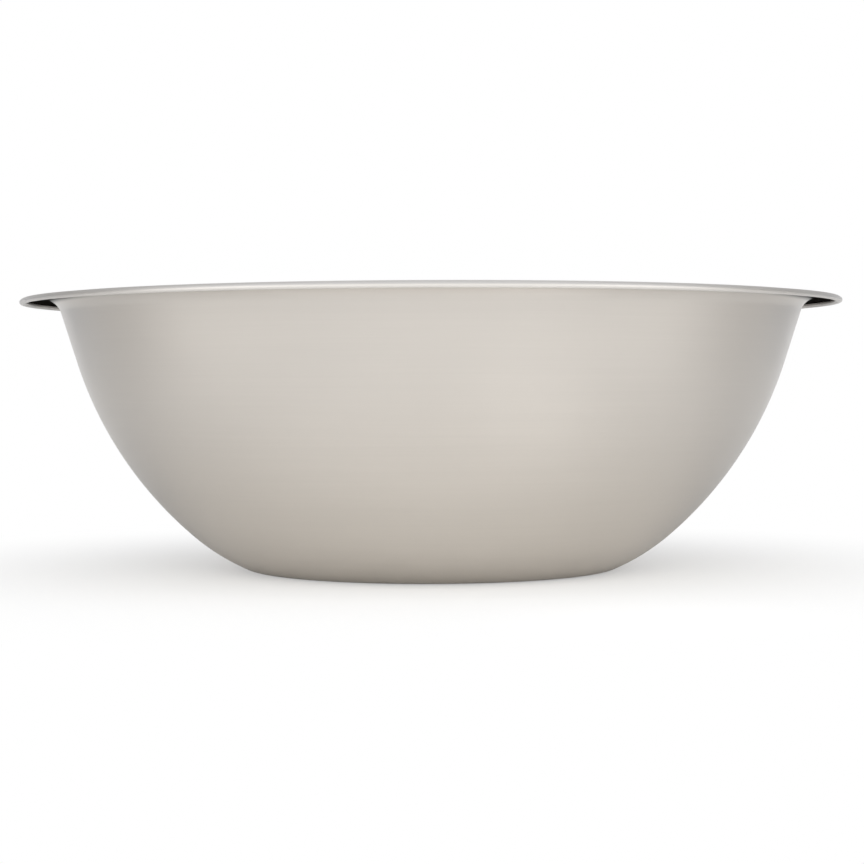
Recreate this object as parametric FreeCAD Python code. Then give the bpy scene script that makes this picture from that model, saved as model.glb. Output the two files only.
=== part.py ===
import FreeCAD, Part
import math
import os

# Mixing bowl pressed and spun from one round blank of stainless sheet.
# Millimetres, +Z up. The flat base rests on z = 0, centred on the origin,
# and the bowl's axis is the Z axis.
#
# The bowl is described by the path that the middle of the sheet follows, from
# the centre of the base out to the free edge, with every arc tangent to its
# neighbours. The path is thickened by half the sheet on each side, closed at
# both ends and turned once round the Z axis.

# ---- driving dimensions (mm, degrees) ---------------------------------------
overall_diameter = 405.0      # across the rolled edge
overall_height = 134.5        # resting face to the top of the lip
sheet = 0.8                   # sheet thickness

base_radius = 88.95           # flat, before the corner starts
corner_radius = 11.2          # outside radius where the base meets the wall
corner_turn = 24.1
lower_wall_radius = 103.0     # outside radius of the lower wall, in section
lower_wall_turn = 16.7
upper_wall_radius = 187.0     # outside radius of the upper wall, in section
upper_wall_turn = 31.8

flare_radius = 9.4            # under the lip, where the wall turns outwards
lip_slope = 5.5               # the lip falls outwards by this angle

# Rolled edge; its radii are measured to the outside of the roll.
bead_top_radius = 3.0         # shoulder above the nose
bead_top_turn = 44.5
bead_nose_radius = 1.1        # nose, turning the sheet back under the lip
bead_floor_length = 1.2       # flat run along the underside of the roll
bead_heel_radius = 1.1        # corner of the roll nearest the wall
bead_heel_turn = 90.0
bead_return_length = 0.8      # upright free edge, just clear of the lip

# ---- derived ----------------------------------------------------------------
half = sheet / 2.0
wall_angle = corner_turn + lower_wall_turn + upper_wall_turn   # slope of the cone
nose_turn = 180.0 - lip_slope - bead_top_turn                  # the floor lies level


def sheet_path(cone_length, lip_length):
    """Steps of the path as (length, 0) for a straight or (middle radius, turn)
    for an arc. A positive turn is upwards from the base."""
    return [
        (base_radius, 0),
        (corner_radius - half, corner_turn),
        (lower_wall_radius - half, lower_wall_turn),
        (upper_wall_radius - half, upper_wall_turn),
        (cone_length, 0),
        (flare_radius + half, -(wall_angle + lip_slope)),
        (lip_length, 0),
        (bead_top_radius - half, -bead_top_turn),
        (bead_nose_radius - half, -nose_turn),
        (bead_floor_length, 0),
        (bead_heel_radius - half, -bead_heel_turn),
        (bead_return_length, 0),
    ]


def face_points(x, z, heading):
    """Points on the outer and inner face of the sheet beside a path point."""
    across_x = half * math.sin(heading)
    across_z = half * math.cos(heading)
    return (x + across_x, z - across_z), (x - across_x, z + across_z)


def trace(path):
    """Follow the path from the base centre. Gives the pieces of the outer and
    of the inner face as (start, middle, end), with None as the middle of a
    straight, then the height of the lip's crest and the radius of the nose.
    Outer and inner are named as on the wall; in the roll the outer face is
    the enclosed one."""
    x, z, heading = 0.0, half, 0.0
    outer, inner = [], []
    crest_height = nose_reach = 0.0

    for size, turn in path:
        starts = face_points(x, z, heading)
        if turn == 0:
            middles = (None, None)
            x += size * math.cos(heading)
            z += size * math.sin(heading)
        else:
            radius = math.copysign(size, turn)
            centre_x = x - radius * math.sin(heading)
            centre_z = z + radius * math.cos(heading)

            def arc_point(angle):
                return (centre_x + radius * math.sin(angle),
                        centre_z - radius * math.cos(angle), angle)

            end_heading = heading + math.radians(turn)
            middles = face_points(*arc_point((heading + end_heading) / 2.0))
            if heading > 0 > end_heading:
                crest_height = centre_z + size + half
            if heading > -math.pi / 2 > end_heading:
                nose_reach = centre_x + size + half
            x, z, heading = arc_point(end_heading)
        ends = face_points(x, z, heading)
        outer.append((starts[0], middles[0], ends[0]))
        inner.append((starts[1], middles[1], ends[1]))
    return outer, inner, crest_height, nose_reach


def section_edge(start, middle, end):
    """Straight or three-point arc in the XZ plane."""
    points = [FreeCAD.Vector(p[0], 0.0, p[1]) for p in (start, middle, end) if p]
    curve = Part.Arc if middle else Part.LineSegment
    return curve(*points).toShape()


def build_bowl_shell():
    # The cone is as long as the overall height needs, then the lip as wide as
    # the overall diameter needs.
    _, _, crest_height, _ = trace(sheet_path(0.0, 0.0))
    cone_length = (overall_height - crest_height) / math.sin(math.radians(wall_angle))
    _, _, _, nose_reach = trace(sheet_path(cone_length, 0.0))
    lip_length = (overall_diameter / 2.0 - nose_reach) / math.cos(math.radians(lip_slope))
    outer, inner, _, _ = trace(sheet_path(cone_length, lip_length))

    # Out along the outer face, across the free edge, back along the inner
    # face and down the axis.
    pieces = outer + [(outer[-1][2], None, inner[-1][2])]
    pieces += [(end, middle, start) for start, middle, end in reversed(inner)]
    pieces.append((inner[0][0], None, outer[0][0]))

    section = Part.Face(Part.Wire([section_edge(*piece) for piece in pieces]))
    shell = section.revolve(FreeCAD.Vector(0, 0, 0), FreeCAD.Vector(0, 0, 1), 360)
    if shell.Volume < 0:      # turned inside out by the direction of the section
        shell.reverse()
    if not shell.isValid():
        raise RuntimeError("the bowl shell isn't a valid solid")
    return shell


os.makedirs("parts", exist_ok=True)
build_bowl_shell().exportStep("parts/bowl_shell.step")
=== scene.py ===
"""A mixing bowl in thin satin stainless steel with a rolled rim.

The bowl stands on z = 0 with its axis on Z. The camera looks along +Y, so -Y is the front
and +X is on the right. Its sheet is one closed section turned round the axis.
"""
import math

import bpy
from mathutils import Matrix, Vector


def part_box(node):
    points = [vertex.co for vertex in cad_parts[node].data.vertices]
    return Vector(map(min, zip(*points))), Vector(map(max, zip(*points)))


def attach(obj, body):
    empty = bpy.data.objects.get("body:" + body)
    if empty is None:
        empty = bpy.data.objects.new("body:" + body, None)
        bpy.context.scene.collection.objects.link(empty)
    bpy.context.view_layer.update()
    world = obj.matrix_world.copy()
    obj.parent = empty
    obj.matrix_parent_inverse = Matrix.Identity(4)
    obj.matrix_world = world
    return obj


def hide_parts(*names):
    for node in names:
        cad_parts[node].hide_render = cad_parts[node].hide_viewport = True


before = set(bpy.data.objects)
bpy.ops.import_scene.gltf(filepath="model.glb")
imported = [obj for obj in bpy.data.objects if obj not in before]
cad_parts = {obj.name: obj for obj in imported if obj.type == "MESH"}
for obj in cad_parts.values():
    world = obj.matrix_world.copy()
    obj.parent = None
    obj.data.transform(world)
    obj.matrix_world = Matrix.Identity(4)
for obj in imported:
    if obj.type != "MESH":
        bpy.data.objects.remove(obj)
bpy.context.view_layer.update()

shell_lo, shell_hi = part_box("bowl_shell")
MM = 0.001

# =============================================================================
# Dimensions of the section, in millimetres and degrees. Radii are those of the
# concave face of each bend, except FLARE_R, which is the face under the lip.
# =============================================================================
OVERALL_D, OVERALL_H = 405.0, 134.5
SHEET = 0.8
HALF = SHEET / 2
BASE_R = 88.95
CORNER_R, CORNER_TURN = 11.2, 24.1
LOWER_R, LOWER_TURN = 103.0, 16.7
UPPER_R, UPPER_TURN = 187.0, 31.8
WALL_ANGLE = CORNER_TURN + LOWER_TURN + UPPER_TURN
FLARE_R, LIP_SLOPE = 9.4, 5.5
BEAD_TOP_R, BEAD_TOP_TURN = 3.0, 44.5
BEAD_NOSE_R = 1.1
BEAD_FLOOR = 1.2
BEAD_HEEL_R = 1.1
BEAD_RETURN = 0.8
EDGE_ROUND = 0.16             # radius on the corners of the sheet's cut edge
EDGE_STEPS = 3

# Where the finish and the painted shade under the lip change, in millimetres
UNDER_START_Z, UNDER_FULL_Z = 130.9, 133.0        # outside of the wall, up into the channel
RIM_START_R, RIM_FULL_R = 184.8, 187.5            # inside of the flare, out onto the lip
RETURN_START, RETURN_FULL = 0.4, 2.0              # heights above the lowest point of the roll
BEAD_UNDER = 0.22                                 # share of the painted channel shade below the roll
# the cut edge takes part of the painted channel shade
CUT_ZONE = (0.0, 0.35, 0.65)

SHELL_TOLERANCE_D, SHELL_TOLERANCE_H = 0.6, 0.3
MIN_SPACING = 0.01            # section points closer than this are merged
AXIS_R = 1e-6                 # a point nearer the axis than this is a single vertex
TURNS = 360                   # vertices round the bowl


# =============================================================================
# The path of the middle of the sheet
# =============================================================================
def path(cone, lip):
    """Segments from the centre of the base to the free edge of the rolled rim."""
    nose_turn = 180 - LIP_SLOPE - BEAD_TOP_TURN
    # name, kind, length or middle radius, turn in degrees, steps
    return [
        ("base", "line", BASE_R, 0, 9),
        ("corner", "arc", CORNER_R - HALF, CORNER_TURN, 9),
        ("lower", "arc", LOWER_R - HALF, LOWER_TURN, 14),
        ("upper", "arc", UPPER_R - HALF, UPPER_TURN, 34),
        ("cone", "line", cone, 0, 9),
        ("flare", "arc", FLARE_R + HALF, -(WALL_ANGLE + LIP_SLOPE), 22),
        ("lip", "line", lip, 0, 4),
        ("bead_top", "arc", BEAD_TOP_R - HALF, -BEAD_TOP_TURN, 7),
        ("bead_nose", "arc", BEAD_NOSE_R - HALF, -nose_turn, 14),
        ("bead_floor", "line", BEAD_FLOOR, 0, 1),
        ("bead_heel", "arc", BEAD_HEEL_R - HALF, -90.0, 7),
        ("bead_return", "line", BEAD_RETURN - EDGE_ROUND, 0, 1),
    ]


def trace(segments):
    """Follow the path; return its stations, the crest height and the widest radius.

    A station is (segment, outer (r, z), inner (r, z), heading). The outer face is on the
    right of the path: it is the outside of the wall and the inside of the roll.
    """
    r, z, heading = 0.0, HALF, 0.0
    crest = widest = 0.0
    stations = []

    def put(name, r, z, heading):
        across, up = math.sin(heading) * HALF, math.cos(heading) * HALF
        stations.append((name, (r + across, z - up), (r - across, z + up), heading))

    put("base", r, z, heading)
    for name, kind, size, turn, steps in segments:
        if kind == "line":
            run, rise = size * math.cos(heading), size * math.sin(heading)
            for k in range(1, steps + 1):
                put(name, r + run * k / steps, z + rise * k / steps, heading)
            r, z = r + run, z + rise
            continue
        radius = size if turn > 0 else -size
        sweep = math.radians(turn)
        centre_r = r - radius * math.sin(heading)
        centre_z = z + radius * math.cos(heading)
        for k in range(1, steps + 1):
            angle = heading + sweep * k / steps
            put(name, centre_r + radius * math.sin(angle),
                centre_z - radius * math.cos(angle), angle)
        end = heading + sweep
        if turn < 0 and heading > 0 > end:
            crest = centre_z + size + HALF
        if turn < 0 and heading > -math.pi / 2 > end:
            widest = centre_r + size + HALF
        heading = end
        r = centre_r + radius * math.sin(heading)
        z = centre_z - radius * math.cos(heading)
    return stations, crest, widest


# The straight part of the wall makes up the overall height, and the lip the diameter.
crest_without_cone = trace(path(0.0, 0.0))[1]
CONE = (OVERALL_H - crest_without_cone) / math.sin(math.radians(WALL_ANGLE))
reach_without_lip = trace(path(CONE, 0.0))[2]
LIP = (OVERALL_D / 2 - reach_without_lip) / math.cos(math.radians(LIP_SLOPE))
stations = trace(path(CONE, LIP))[0]
ROLL_LOW = min(inner[1] for name, outer, inner, heading in stations if name.startswith("bead"))

shell_d, shell_h = (shell_hi.x - shell_lo.x) / MM, (shell_hi.z - shell_lo.z) / MM
if abs(shell_d - OVERALL_D) > SHELL_TOLERANCE_D or abs(shell_h - OVERALL_H) > SHELL_TOLERANCE_H:
    raise RuntimeError("the section does not match the size of bowl_shell")


# =============================================================================
# The closed section: out along the outer face, round the cut edge, and back
# along the inner face. Its points are (r, z, zone), and a zone is the share,
# 0 to 1, of (inside, polished rim, painted shade in the channel under the lip).
# =============================================================================
def smooth(start, end, value):
    t = min(max((value - start) / (end - start), 0.0), 1.0)
    return t * t * (3 - 2 * t)


def outer_zone(name, z):
    # painted shade: darker up the wall into the channel, full under the lip and inside the roll
    if name in ("cone", "flare"):
        return (0.0, 0.0, smooth(UNDER_START_Z, UNDER_FULL_Z, z))
    return (0.0, 0.0, 1.0 if name == "lip" or name.startswith("bead") else 0.0)


def inner_zone(name, r, z):
    rim = under = 0.0
    if name == "lip" or name.startswith("bead"):
        rim = 1.0
    elif name == "flare":
        rim = smooth(RIM_START_R, RIM_FULL_R, r)
    if name == "bead_floor":
        under = BEAD_UNDER
    elif name in ("bead_heel", "bead_return"):
        # The side of the roll that faces the wall gets painted shade, darker the deeper it
        # lies.
        depth = smooth(ROLL_LOW + RETURN_START, ROLL_LOW + RETURN_FULL, z)
        under = BEAD_UNDER + (1.0 - BEAD_UNDER) * depth
    return (1.0 - rim, rim, under)


def cut_edge():
    """The two rounded corners at the free edge, from the outer face to the inner."""
    name, outer, inner, heading = stations[-1]
    along = (math.cos(heading), math.sin(heading))
    inward = (-math.sin(heading), math.cos(heading))
    points = []
    for face, side, steps in ((outer, 1, range(1, EDGE_STEPS + 1)),
                              (inner, -1, range(EDGE_STEPS, 0, -1))):
        for k in steps:
            angle = math.pi / 2 * k / EDGE_STEPS
            across = side * EDGE_ROUND * (1 - math.cos(angle))
            out = EDGE_ROUND * math.sin(angle)
            points.append((face[0] + inward[0] * across + along[0] * out,
                           face[1] + inward[1] * across + along[1] * out, CUT_ZONE))
    return points


def closed_section():
    points = [(*outer, outer_zone(name, outer[1])) for name, outer, inner, heading in stations]
    points += cut_edge()
    points += [(*inner, inner_zone(name, *inner))
               for name, outer, inner, heading in reversed(stations)]
    section = [points[0]]
    for point in points[1:]:
        last = section[-1]
        if math.hypot(point[0] - last[0], point[1] - last[1]) > MIN_SPACING:
            section.append(point)
    return section


# =============================================================================
# The bowl: the section turned round Z as one closed mesh
# =============================================================================
def add_object(name, data):
    obj = bpy.data.objects.new(name, data)
    bpy.context.scene.collection.objects.link(obj)
    return obj


def build_bowl():
    section = closed_section()
    lengths = [0.0]
    for start, end in zip(section[:-1], section[1:]):
        lengths.append(lengths[-1] + math.hypot(end[0] - start[0], end[1] - start[1]))

    verts = []
    rings = []                                    # (first vertex, number of vertices)
    attributes = {"path_mm": [], "zone_inside": [], "zone_rim": [], "zone_channel_shade": []}
    for (r, z, zone), length in zip(section, lengths):
        count = 1 if r < AXIS_R else TURNS
        rings.append((len(verts), count))
        for k in range(count):
            angle = 2 * math.pi * (k + 0.5) / TURNS + math.pi / 2
            verts.append((r * MM * math.cos(angle), r * MM * math.sin(angle), z * MM))
        for values, value in zip(attributes.values(), (length, *zone)):
            values.extend([value] * count)

    # The map runs once round the bowl in U and along the whole section in V. The
    # material doesn't read it; it is there for baking the fine turned lines.
    faces, uvs = [], []
    for j in range(len(section) - 1):
        (start, start_count), (end, end_count) = rings[j], rings[j + 1]
        v0, v1 = lengths[j] / lengths[-1], lengths[j + 1] / lengths[-1]
        for k in range(TURNS):
            k1 = (k + 1) % TURNS
            u0, u1 = k / TURNS, (k + 1) / TURNS
            if start_count == 1:
                faces.append((start, end + k1, end + k))
                uvs += [(u0 + u1) / 2, v0, u1, v1, u0, v1]
            elif end_count == 1:
                faces.append((start + k, start + k1, end))
                uvs += [u0, v0, u1, v0, (u0 + u1) / 2, v1]
            else:
                faces.append((start + k, start + k1, end + k1, end + k))
                uvs += [u0, v0, u1, v0, u1, v1, u0, v1]

    mesh = bpy.data.meshes.new("mixing_bowl")
    mesh.from_pydata(verts, [], faces)
    mesh.update()
    for name, values in attributes.items():
        mesh.attributes.new(name, "FLOAT", "POINT").data.foreach_set("value", values)
    mesh.uv_layers.new(name="OFBake").data.foreach_set("uv", uvs)
    mesh.polygons.foreach_set("use_smooth", [True] * len(mesh.polygons))
    mesh.update()
    return add_object("mixing_bowl", mesh)


# =============================================================================
# Node trees
# =============================================================================
class Tree:
    """Short hands for building a node tree. An input takes a socket or a plain value."""

    def __init__(self, node_tree):
        self.node_tree = node_tree

    def node(self, kind, **props):
        node = self.node_tree.nodes.new(kind)
        for name, value in props.items():
            setattr(node, name, value)
        return node

    def put(self, target, value):
        if isinstance(value, bpy.types.NodeSocket):
            self.node_tree.links.new(value, target)
        else:
            target.default_value = value

    def fill(self, node, values):
        """Set inputs by name or index, and return the node's first output."""
        for key, value in values.items():
            self.put(node.inputs[key], value)
        return node.outputs[0] if node.outputs else None

    def math(self, operation, a, b=0.0, clamp=False):
        node = self.node("ShaderNodeMath", operation=operation, use_clamp=clamp)
        return self.fill(node, {0: a, 1: b})

    def add(self, a, b):
        return self.math("ADD", a, b)

    def subtract(self, a, b, clamp=False):
        return self.math("SUBTRACT", a, b, clamp)

    def multiply(self, a, b):
        return self.math("MULTIPLY", a, b)

    def swing(self, noise, amount):
        """Noise centred on zero, from -amount / 2 to amount / 2."""
        return self.multiply(self.subtract(noise, 0.5), amount)

    def distance(self, x, y):
        squares = self.add(self.multiply(x, x), self.multiply(y, y))
        return self.math("SQRT", squares)

    def split(self, vector):
        node = self.node("ShaderNodeSeparateXYZ")
        self.fill(node, {0: vector})
        return node.outputs

    def coordinates(self, kind):
        return self.node("ShaderNodeTexCoord").outputs[kind]

    def is_camera_ray(self):
        return self.node("ShaderNodeLightPath").outputs["Is Camera Ray"]

    def attribute(self, name):
        node = self.node("ShaderNodeAttribute", attribute_type="GEOMETRY", attribute_name=name)
        return node.outputs["Fac"]

    def mix(self, mask, off, on):
        node = self.node("ShaderNodeMix", data_type="FLOAT")
        return self.fill(node, {0: mask, 2: off, 3: on})

    def mix_colour(self, mask, off, on):
        node = self.node("ShaderNodeMix", data_type="RGBA")
        self.fill(node, {0: mask, 6: off, 7: on})
        return node.outputs[2]

    def mix_shader(self, mask, off, on):
        return self.fill(self.node("ShaderNodeMixShader"), {0: mask, 1: off, 2: on})

    def scale(self, vector, factor):
        node = self.node("ShaderNodeVectorMath", operation="SCALE")
        return self.fill(node, {0: vector, "Scale": factor})

    def noise(self, vector, scale, detail, rough):
        node = self.node("ShaderNodeTexNoise", noise_dimensions="3D")
        return self.fill(node, {"Vector": vector, "Scale": scale,
                                "Detail": detail, "Roughness": rough})

    def ramp(self, value, start, end):
        node = self.node("ShaderNodeMapRange", interpolation_type="SMOOTHSTEP", clamp=True)
        return self.fill(node, {"Value": value, "From Min": start, "From Max": end})


# =============================================================================
# Satin stainless steel, turned on a lathe: fine lines run round the axis
# =============================================================================
OUTSIDE_STEEL = (0.640, 0.603, 0.562, 1.0)
INSIDE_STEEL = (0.660, 0.630, 0.592, 1.0)
RIM_STEEL = (0.730, 0.705, 0.679, 1.0)
UNDER_SHADE_STEEL = (0.560, 0.530, 0.500, 1.0)          # painted shade: darker steel in the channel under the lip
SHADOW_COLOUR = (0.010, 0.009, 0.008, 1.0)
AXIS_GUARD = 0.0005           # least radius to divide by, in metres


def stainless():
    mat = bpy.data.materials.new("stainless_satin")
    mat.use_nodes = True
    mat.node_tree.nodes.clear()
    tree = Tree(mat.node_tree)
    where = tree.coordinates("Object")
    x, y, z = tree.split(where)
    radius = tree.math("MAXIMUM", tree.distance(x, y), AXIS_GUARD)
    round_x, round_y = tree.math("DIVIDE", x, radius), tree.math("DIVIDE", y, radius)
    path_mm = tree.attribute("path_mm")
    inside = tree.attribute("zone_inside")
    rim = tree.attribute("zone_rim")
    under = tree.attribute("zone_channel_shade")

    def turned(around, across, detail, rough, shift=0.0):
        """Noise in streaks that run round the axis.

        around sets how short they are, across how many there are to a millimetre.
        """
        along = tree.add(tree.multiply(path_mm, across), shift)
        vector = tree.fill(tree.node("ShaderNodeCombineXYZ"), {
            0: tree.multiply(round_x, around), 1: tree.multiply(round_y, around), 2: along})
        return tree.noise(vector, scale=1.0, detail=detail, rough=rough)

    # Brush lines, coarser belt lines, slow bands, handling haze and sparse scratches
    fine = turned(around=2.6, across=3.1, detail=2.0, rough=0.6)
    medium = turned(around=1.5, across=0.62, detail=2.0, rough=0.55, shift=40.0)
    broad = turned(around=0.5, across=0.075, detail=2.0, rough=0.5, shift=90.0)
    cloud = tree.noise(where, scale=11.0, detail=3.0, rough=0.55)
    scratch = tree.ramp(turned(around=3.6, across=6.5, detail=1.0, rough=0.4, shift=200.0),
                        start=0.74, end=0.82)
    lines = tree.add(tree.swing(fine, amount=0.55), tree.swing(medium, amount=0.45))

    # The channel under the lip gets a painted deep shadow when it is looked at edge-on.
    # From below it shows darker steel, a milder painted shade.
    edge_on = tree.node("ShaderNodeLayerWeight")
    edge_on.inputs["Blend"].default_value = 0.5
    shadow = tree.multiply(under, tree.ramp(edge_on.outputs["Facing"], start=0.66, end=0.84))

    # Colour: one steel to a zone, its tone varied by the lines, bands and haze
    colour = tree.mix_colour(inside, OUTSIDE_STEEL, INSIDE_STEEL)
    colour = tree.mix_colour(rim, colour, RIM_STEEL)
    # painted shade in the channel under the lip, deepening to a painted shadow edge-on
    colour = tree.mix_colour(under, colour, UNDER_SHADE_STEEL)
    colour = tree.mix_colour(shadow, colour, SHADOW_COLOUR)
    line_tone = tree.multiply(lines, tree.mix(inside, off=0.09, on=0.17))
    slow_tone = tree.add(tree.swing(broad, amount=0.035), tree.swing(cloud, amount=0.025))
    tone = tree.add(1.0, tree.add(line_tone, slow_tone))
    colour = tree.scale(colour, tone)

    # Roughness: set by zone, then varied; scratches are a little smoother
    line_rough, scratch_polish = 0.10, 0.06
    rough = tree.mix(inside, off=0.385, on=0.35)
    rough = tree.mix(rim, rough, on=0.50)
    rough = tree.mix(under, rough, on=0.50)
    rough = tree.add(rough, tree.swing(broad, amount=0.07))
    rough = tree.add(rough, tree.multiply(lines, line_rough))
    rough = tree.add(rough, tree.swing(cloud, amount=0.10))
    rough = tree.subtract(rough, tree.multiply(scratch, scratch_polish), clamp=True)

    # Relief of a few thousandths of a millimetre, coarser on the inside
    fine_height, medium_height, scratch_depth = 0.45, 1.0, 0.35
    height = tree.add(tree.multiply(fine, fine_height), tree.multiply(medium, medium_height))
    height = tree.subtract(height, tree.multiply(scratch, scratch_depth))
    height = tree.multiply(height, tree.mix(inside, off=1.0, on=1.9))
    normal = tree.fill(tree.node("ShaderNodeBump"), {
        "Strength": 1.0, "Distance": 0.0000060, "Height": height})

    tangent = tree.node("ShaderNodeTangent", direction_type="RADIAL", axis="Z")
    surface = tree.fill(tree.node("ShaderNodeBsdfPrincipled"), {
        "Base Color": colour,
        "Roughness": rough,
        "Normal": normal,
        "Tangent": tangent.outputs[0],
        "Metallic": tree.subtract(1.0, shadow),
        "Specular IOR Level": tree.mix(shadow, off=0.5, on=0.0),
        "Anisotropic": 0.55,
        "Anisotropic Rotation": 0.25,             # the lobe is wide across the lines
    })
    tree.fill(tree.node("ShaderNodeOutputMaterial"), {"Surface": surface})
    return mat


bowl = build_bowl()
bowl.data.materials.append(stainless())
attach(bowl, "root")
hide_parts("bowl_shell")

# =============================================================================
# Floor: a plain pale disc, in metres
# =============================================================================
FLOOR_Z = -0.0003
FLOOR_SIDES = 96
FLOOR_IN, FLOOR_OUT = 0.55, 1.30      # whole out to the first radius, gone at the second
FLOOR_RINGS = (0.1, 0.2, 0.3, 0.45, 0.6, 0.8, 1.0, FLOOR_OUT)
FLOOR_COLOUR = (0.88, 0.88, 0.88, 1.0)
BLACK = (0.0, 0.0, 0.0, 1.0)
# Seen by the camera it fades to white sooner, and this share of it shows at the centre.
SEEN_IN, SEEN_OUT, SEEN = 0.09, 0.34, 0.60
# Beside and behind the bowl the floor gets a painted shadow: it lights the bowl this much less.
ASIDE_IN, ASIDE_OUT, ASIDE_SHADOW = 0.45, 0.75, 0.15
ASIDE_FRONT, ASIDE_BACK = -0.45, 0.25             # y / radius where that begins and is full


def build_floor():
    verts = [(0.0, 0.0, FLOOR_Z)]
    for radius in FLOOR_RINGS:
        for k in range(FLOOR_SIDES):
            angle = 2 * math.pi * k / FLOOR_SIDES
            verts.append((radius * math.cos(angle), radius * math.sin(angle), FLOOR_Z))
    faces = [(0, 1 + k, 1 + (k + 1) % FLOOR_SIDES) for k in range(FLOOR_SIDES)]
    for j in range(len(FLOOR_RINGS) - 1):
        near, far = 1 + j * FLOOR_SIDES, 1 + (j + 1) * FLOOR_SIDES
        for k in range(FLOOR_SIDES):
            k1 = (k + 1) % FLOOR_SIDES
            faces.append((near + k, far + k, far + k1, near + k1))
    mesh = bpy.data.meshes.new("floor")
    mesh.from_pydata(verts, [], faces)
    return add_object("floor", mesh)


def floor_white():
    mat = bpy.data.materials.new("floor_white")
    mat.use_nodes = True
    tree = Tree(mat.node_tree)
    pale = tree.fill(mat.node_tree.nodes["Principled BSDF"], {
        "Base Color": FLOOR_COLOUR, "Roughness": 0.7, "Specular IOR Level": 0.2})
    x, y, z = tree.split(tree.coordinates("Object"))
    radius = tree.distance(x, y)

    # What the camera sees: the pale floor, fading into plain white
    central = tree.subtract(1.0, tree.ramp(radius, SEEN_IN, SEEN_OUT))
    whiteness = tree.subtract(1.0, tree.multiply(SEEN, central))
    looked_at = tree.mix_shader(whiteness, pale, tree.node("ShaderNodeEmission").outputs[0])

    # What lights the bowl: a diffuse floor, with a painted shadow beside and behind it
    toward_back = tree.math("DIVIDE", y, tree.math("MAXIMUM", radius, 0.0001))
    aside_shadow = tree.multiply(tree.ramp(toward_back, ASIDE_FRONT, ASIDE_BACK),
                          tree.subtract(1.0, tree.ramp(radius, ASIDE_IN, ASIDE_OUT)))
    giving = tree.fill(tree.node("ShaderNodeBsdfDiffuse"), {
        "Color": tree.mix_colour(tree.multiply(ASIDE_SHADOW, aside_shadow), FLOOR_COLOUR, BLACK)})
    lit = tree.mix_shader(tree.ramp(radius, FLOOR_IN, FLOOR_OUT), giving,
                          tree.node("ShaderNodeBsdfTransparent").outputs[0])

    surface = tree.mix_shader(tree.is_camera_ray(), lit, looked_at)
    tree.fill(mat.node_tree.nodes["Material Output"], {"Surface": surface})
    return mat


floor = build_floor()
floor.data.materials.append(floor_white())

# =============================================================================
# World: soft light from all round, as broad patches by direction. The camera
# itself sees plain white.
# =============================================================================
NEUTRAL = (1.0, 1.0, 1.0)
# Azimuth band from the camera's side (0) to behind the bowl (4), low (l) or raised (m),
# and one patch overhead: strength, tint
SKY = {
    "0l": (1.400, (1.000, 1.000, 0.995)),
    "1l": (1.550, (1.030, 1.020, 0.990)),
    "2l": (0.305, (1.050, 0.980, 0.920)),
    "3l": (0.441, (0.970, 1.020, 1.100)),
    "4l": (1.057, (0.990, 1.000, 1.020)),
    "0m": (1.400, (1.020, 1.020, 0.960)),
    "1m": (1.750, NEUTRAL),
    "2m": (0.250, NEUTRAL),
    "3m": (0.507, NEUTRAL),
    "4m": (0.350, NEUTRAL),
    "top": (0.820, (0.975, 0.995, 1.040)),
}
# Where each band gives way to the next, from -1 on the camera's side to +1 behind
BAND_EDGES = ((-0.88, -0.52), (-0.26, 0.10), (0.36, 0.64), (0.78, 0.93))


def build_world():
    world = bpy.data.worlds.new("studio")
    bpy.context.scene.world = world
    world.use_nodes = True
    world.node_tree.nodes.clear()
    tree = Tree(world.node_tree)
    x, y, up = tree.split(tree.coordinates("Generated"))
    level = tree.math("MAXIMUM", tree.distance(x, y), 0.0001)
    toward_back = tree.math("DIVIDE", y, level)
    edges = [tree.ramp(toward_back, start, end) for start, end in BAND_EDGES]
    bands = [tree.subtract(1.0, edges[0])]
    bands += [tree.subtract(edge, following) for edge, following in zip(edges, edges[1:])]
    bands.append(edges[-1])
    raised = tree.ramp(up, start=0.14, end=0.36)
    overhead = tree.ramp(up, start=0.62, end=0.86)
    heights = {"l": tree.subtract(1.0, raised), "m": tree.subtract(raised, overhead)}

    total = None
    for key, (strength, tint) in SKY.items():
        if key == "top":
            mask = overhead
        else:
            band, height = key
            mask = tree.multiply(bands[int(band)], heights[height])
        value_node = tree.node("ShaderNodeValue", name="w_" + key)
        value_node.outputs[0].default_value = strength
        tint_node = tree.node("ShaderNodeRGB", name="c_" + key)
        tint_node.outputs[0].default_value = (*tint, 1.0)
        patch = tree.scale(tint_node.outputs[0], tree.multiply(mask, value_node.outputs[0]))
        if total is None:
            total = patch
        else:
            add = tree.node("ShaderNodeVectorMath", operation="ADD")
            total = tree.fill(add, {0: total, 1: patch})

    background = tree.fill(tree.node("ShaderNodeBackground"), {
        "Color": tree.mix_colour(tree.is_camera_ray(), total, (*NEUTRAL, 1.0)),
        "Strength": 1.0})
    tree.fill(tree.node("ShaderNodeOutputWorld"), {"Surface": background})


build_world()

# =============================================================================
# Lamps, in metres and watts. They light only the floor, and the floor lights the
# underside of the wall. The bowl itself is lit by the sky patches, so no lamp
# shows in the polished lip.
# =============================================================================
SOFTBOX_COLOUR = (1.0, 0.985, 0.945)
SOFTBOX_TARGET = (0, 0, 0.05)
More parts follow.
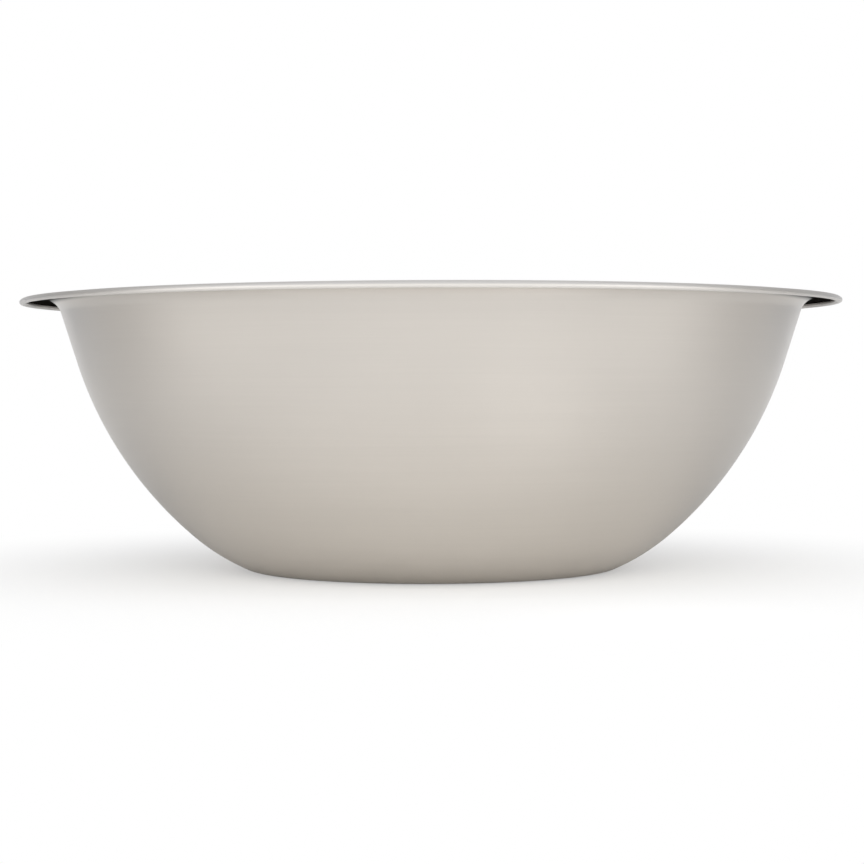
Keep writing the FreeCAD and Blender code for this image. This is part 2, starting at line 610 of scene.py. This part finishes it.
# name: place, size, watts
SOFTBOXES = {
    "key_front": ((0.1, -2.2, 1.7), (2.6, 1.6), 12.1),
    "left": ((-1.9, -0.6, 1.0), (1.4, 1.4), 0.6),
    "right": ((1.9, -0.6, 1.0), (1.4, 1.4), 5.1),
    "low_front": ((0.0, -2.4, 0.6), (2.4, 1.0), 8.7),
}
# Two lamps overhead leave soft pools of light on the floor in front of the bowl, one
# broad and one small and right of the middle.
POOL_COLOUR = (1.0, 0.990, 0.975)
POOL_LAMP_R = 0.03
# name: place, target, cone in degrees, watts
POOLS = {
    "pool_front": ((0.0, -0.62, 1.25), (0.0, -0.265, 0.0), 19.0, 7.4),
    "pool": ((0.135, -0.33, 1.15), (0.105, -0.240, 0.0), 9.0, 7.2),
}

floor_only = bpy.data.collections.new("floor_only")
floor_only.objects.link(floor)


def floor_lamp(name, kind, place, target, watts, colour):
    """Add a lamp that lights only the floor, and return its light data."""
    light = bpy.data.lights.new(name, kind)
    light.energy = watts
    light.color = colour
    lamp = add_object(name, light)
    lamp.location = place
    aim = Vector(target) - Vector(place)
    lamp.rotation_euler = aim.to_track_quat("-Z", "Y").to_euler()
    lamp.light_linking.receiver_collection = floor_only
    return light


for name, (place, size, watts) in SOFTBOXES.items():
    light = floor_lamp(name, "AREA", place, SOFTBOX_TARGET, watts, SOFTBOX_COLOUR)
    light.shape = "RECTANGLE"
    light.size, light.size_y = size

for name, (place, target, cone, watts) in POOLS.items():
    light = floor_lamp(name, "SPOT", place, target, watts, POOL_COLOUR)
    light.shadow_soft_size = POOL_LAMP_R
    light.spot_size = math.radians(cone)
    light.spot_blend = 1.0

# =============================================================================
# Camera, 1.04 m from the bowl's axis and below the height of the rim
# =============================================================================
CAMERA_PLACE = (0.00042, -1.0375, 0.0924)
CAMERA_DOWN, CAMERA_ROLL = 1.360, 0.18            # degrees

lens = bpy.data.cameras.new("camera")
lens.sensor_width = 36.0
lens.lens = 86.08
lens.clip_start, lens.clip_end = 0.05, 60.0
camera = add_object("camera", lens)
camera.location = CAMERA_PLACE
camera.rotation_euler = (math.radians(90 - CAMERA_DOWN), math.radians(CAMERA_ROLL), 0)
bpy.context.scene.camera = camera

view = bpy.context.scene.view_settings
view.view_transform = "Standard"
view.look = "None"
view.exposure, view.gamma = 0.0, 1.0
